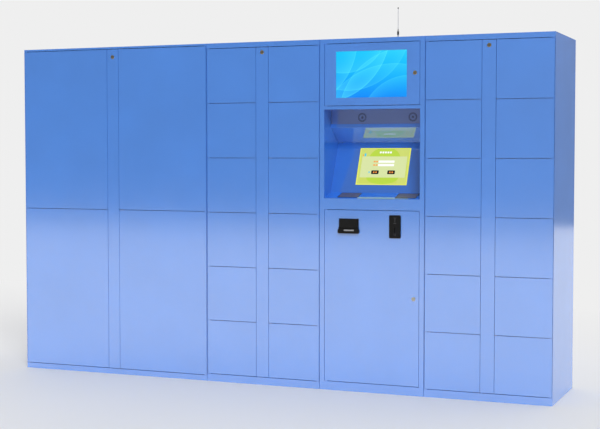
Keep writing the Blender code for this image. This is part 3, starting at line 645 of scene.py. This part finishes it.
# ----------------------------------------------------------- coin acceptor
def make_coin_face():
    """Raised rim, coin guide, feed mark and dished button surround."""
    low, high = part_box("coin_acceptor")
    button = front_of("coin_button")
    x, z = (low.x + high.x) / 2, (low.z + high.z) / 2
    width, height = high.x - low.x, high.z - low.z
    face = low.y
    bm = bmesh.new()
    plate(bm, rounded_outline(width - 0.0010, height - 0.0010, 0.0055),
          (face - 0.0008, face + 0.001), x, z)
    rim = piece("coin_rim", bm, MATS["black"], "service_door")
    tool = bmesh.new()
    plate(tool, rounded_outline(width - 0.0080, height - 0.0080, 0.0035),
          (face - 0.003, face + 0.003), x, z)
    carve(rim, tool)
    slot_low, slot_high = button.z + 0.0080, button.z + 0.0350
    guide = bmesh.new()
    plate(guide, [(0.0075, slot_high + 0.004), (-0.0075, slot_high + 0.004),
                  (-0.0042, slot_low - 0.003), (0.0042, slot_low - 0.003)],
          (face - 0.0022, face + 0.0005), x, 0.0)
    guide_piece = piece("coin_guide", guide, MATS["black"], "service_door", radius=0.0006)
    bake(guide_piece)
    tool = bmesh.new()
    plate(tool, [(0.0028, slot_high + 0.001), (-0.0028, slot_high + 0.001),
                 (-0.0016, slot_low), (0.0016, slot_low)], (face - 0.004, face + 0.004), x, 0.0)
    carve(guide_piece, tool)
    mark = bmesh.new()
    top = high.z - 0.0120
    for outline in ([(0.0012, -0.026), (0.0012, -0.012), (-0.0012, -0.012), (-0.0012, -0.026)],
                    [(0.0012, -0.012), (0.0075, 0.0), (0.0050, 0.0), (-0.0002, -0.0105)],
                    [(0.0002, -0.0105), (-0.0050, 0.0), (-0.0075, 0.0), (-0.0012, -0.012)]):
        plate(mark, outline, (face - 0.0005, face + 0.0003), x, top)
    piece("coin_feed_mark", mark, MATS["mark"], "service_door")
    bar = bmesh.new()
    plate(bar, rounded_outline(0.0150, 0.0030, 0.0014, 4), (face - 0.0010, face + 0.0004),
          x, top - 0.0320)
    piece("coin_bar", bar, MATS["mark"], "service_door")
    ring = bmesh.new()
    lathe(ring, ((0.0066, face + 0.0004), (0.0066, face - 0.0006), (0.0058, face - 0.0012),
                 (0.0045, face - 0.0012)), 32, button.x, button.z)
    ring_piece = piece("coin_button_ring", ring, MATS["mark"], "service_door")
    tool = bmesh.new()
    lathe(tool, ((0.0041, face - 0.004), (0.0041, face + 0.004)), 24, button.x, button.z)
    carve(ring_piece, tool)


# ----------------------------------------------------------------- antenna
RIBS = 5
RIB_PITCH = 0.0038
RIBS_DROP = 0.0215                    # lowest rib below the top of the foot


def make_antenna():
    """Ribbed collar on the foot, ferrule and end bead on the whip."""
    low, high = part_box("antenna_base")
    x, y = (low.x + high.x) / 2, (low.y + high.y) / 2
    tip_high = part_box("antenna_whip")[1]
    upright = Matrix.Translation((x, y, 0.0)) @ Matrix.Rotation(pi / 2, 4, "X")
    bm = bmesh.new()
    ribs = []
    bottom = high.z - RIBS_DROP
    for k in range(RIBS):
        z = bottom + k * RIB_PITCH
        ribs += [(0.0049, z), (0.0054, z + 0.0007), (0.0054, z + 0.0024), (0.0049, z + 0.0031)]
    lathe(bm, ribs, 24)
    piece("antenna_collar", bm, MATS["black"], ROOT, upright)
    bm = bmesh.new()
    lathe(bm, ((0.0034, high.z - 0.0004), (0.0030, high.z + 0.0030), (0.0020, high.z + 0.0090),
               (0.0018, high.z + 0.0100)), 20)
    piece("antenna_ferrule", bm, MATS["nickel"], ROOT, upright)
    bm = bmesh.new()
    lathe(bm, ((0.0012, tip_high.z - 0.0085), (0.0029, tip_high.z - 0.0070),
               (0.0032, tip_high.z - 0.0040), (0.0026, tip_high.z - 0.0012),
               (0.0010, tip_high.z - 0.0001)), 20)
    piece("antenna_bead", bm, MATS["black"], ROOT, upright)


# ------------------------------------------------------------------- studio
BEND_STEPS = 12                       # along the wall's curved foot
WALL_SIDES = 96


def stage_mesh(name, bm, material):
    """A piece of the studio, which isn't part of the locker bank."""
    mesh = bpy.data.meshes.new(name)
    bm.to_mesh(mesh)
    bm.free()
    mesh.materials.append(material)
    made = bpy.data.objects.new(name, mesh)
    bpy.context.scene.collection.objects.link(made)
    return made


def sheet_of(profile):
    """A surface over the full studio width, along (y, z) points."""
    bm = bmesh.new()
    rows = [[bm.verts.new((x, y, z)) for x in (-FLOOR_HALF_WIDTH, FLOOR_HALF_WIDTH)]
            for y, z in profile]
    for near, far in zip(rows, rows[1:]):
        bm.faces.new((near[0], near[1], far[1], far[0])).smooth = True
    return bm


def studio_floor_material():
    """Pale floor that fades into the wall's own light with the distance."""
    m = Nodes("studio_floor")
    m.set(Roughness=0.6, Specular_IOR_Level=0.2)
    m.link(m.ramp(m.noise(0.4), ((0.3, (0.79, 0.788, 0.778)), (0.7, (0.81, 0.808, 0.798)))),
           m.shader.inputs["Base Color"])
    light = m.add("ShaderNodeEmission")
    light.inputs["Color"].default_value = WALL_COLOUR
    split = m.add("ShaderNodeSeparateXYZ")
    m.link(m.place(), split.inputs["Vector"])
    x, y = split.outputs["X"], split.outputs["Y"]
    away = m.math("SQRT", m.math("ADD", m.math("MULTIPLY", x, x), m.math("MULTIPLY", y, y)))
    mix = m.add("ShaderNodeMixShader")
    m.link(m.math("MAXIMUM", m.span(y, *FADE_BACK, 0.0, 1.0), m.span(away, *FADE_ROUND, 0.0, 1.0)),
           mix.inputs["Fac"])
    m.link(m.shader.outputs["BSDF"], mix.inputs[1])
    m.link(light.outputs["Emission"], mix.inputs[2])
    m.link(mix.outputs["Shader"], m.tree.nodes["Material Output"].inputs["Surface"])
    return m.made


def studio_wall_material():
    """Even light, nearly the same all over."""
    m = Nodes("studio_wall")
    light = m.add("ShaderNodeEmission")
    m.link(m.ramp(m.noise(0.3), ((0.3, WALL_COLOUR[:3]), (0.7, shade(WALL_COLOUR[:3], 1.002)))),
           light.inputs["Color"])
    m.link(light.outputs["Emission"], m.tree.nodes["Material Output"].inputs["Surface"])
    return m.made


def make_studio():
    """Pale floor, and a round wall that it curves up into, so that no horizon shows."""
    stage_mesh("studio_floor", sheet_of([(FLOOR_FRONT, 0.0), (FLOOR_BACK, 0.0)]),
               studio_floor_material())
    profile = [(WALL_RADIUS - WALL_BEND + WALL_BEND * sin(k / BEND_STEPS * pi / 2),
                0.001 + WALL_BEND - WALL_BEND * cos(k / BEND_STEPS * pi / 2))
               for k in range(BEND_STEPS + 1)]
    profile.append((WALL_RADIUS, WALL_TOP))
    bm = bmesh.new()
    turn = 2 * pi / WALL_SIDES
    rings = [[bm.verts.new((r * cos(k * turn), r * sin(k * turn), z)) for k in range(WALL_SIDES)]
             for r, z in profile]
    for low, high in zip(rings, rings[1:]):
        for k in range(WALL_SIDES):
            bm.faces.new((low[k], high[k], high[k - 1], low[k - 1]))
    wall = stage_mesh("studio_wall", bm, studio_wall_material())
    wall.visible_glossy = False
    wall.visible_diffuse = False
    wall.visible_shadow = False


def make_world():
    """Bright overhead, dark in front near the horizon, grey behind."""
    world = bpy.data.worlds.new("world")
    world.use_nodes = True
    tree = world.node_tree
    background = tree.nodes["Background"]

    def mixed(factor, low, high):
        node = tree.nodes.new("ShaderNodeMix")
        node.data_type = "RGBA"
        tree.links.new(factor, node.inputs["Factor"])
        for socket, value in ((node.inputs[6], low), (node.inputs[7], high)):
            if isinstance(value, tuple):
                socket.default_value = (*value, 1.0)
            else:
                tree.links.new(value, socket)
        return node.outputs[2]

    def span(value, low, high):
        node = tree.nodes.new("ShaderNodeMapRange")
        node.interpolation_type = "SMOOTHSTEP"
        node.inputs["From Min"].default_value = low
        node.inputs["From Max"].default_value = high
        tree.links.new(value, node.inputs["Value"])
        return node.outputs["Result"]

    split = tree.nodes.new("ShaderNodeSeparateXYZ")
    direction = tree.nodes.new("ShaderNodeTexCoord").outputs["Generated"]
    tree.links.new(direction, split.inputs["Vector"])
    front = mixed(span(split.outputs["Y"], -0.985, -0.93), SKY_AHEAD, SKY_FRONT)
    horizon = mixed(span(split.outputs["Y"], -0.5, 0.5), front, SKY_BACK)
    height = tree.nodes.new("ShaderNodeVectorMath")
    height.operation = "DOT_PRODUCT"
    height.inputs[1].default_value = SKY_AXIS
    tree.links.new(direction, height.inputs[0])
    tree.links.new(mixed(span(height.outputs["Value"], *SKY_RISE), horizon, SKY_TOP),
                   background.inputs["Color"])
    bpy.context.scene.world = world


def make_lights():
    """One wide sun from the front right, and the world."""
    data = bpy.data.lights.new("key", "SUN")
    data.energy = KEY_STRENGTH
    data.angle = radians(KEY_SPREAD)
    key = bpy.data.objects.new("key", data)
    bpy.context.scene.collection.objects.link(key)
    key.rotation_euler = Vector(KEY_FROM).to_track_quat("Z", "Y").to_euler()
    key.visible_glossy = False
    make_world()
    bpy.context.scene.view_settings.view_transform = "Standard"


def make_camera():
    """The photograph's own viewpoint."""
    data = bpy.data.cameras.new("camera")
    data.lens = CAMERA_LENS
    data.sensor_width = 36.0
    camera = bpy.data.objects.new("camera", data)
    bpy.context.scene.collection.objects.link(camera)
    camera.location = CAMERA_AT
    camera.rotation_euler = (radians(90.0 - CAMERA_PITCH), 0.0, radians(-CAMERA_YAW))
    bpy.context.scene.camera = camera


finish_cad()
make_ad_screen()
make_touch_screen()
make_speaker_fascia()
make_sill_pads()
make_lock_faces()
make_printer()
make_coin_face()
make_antenna()
make_studio()
make_lights()
make_camera()
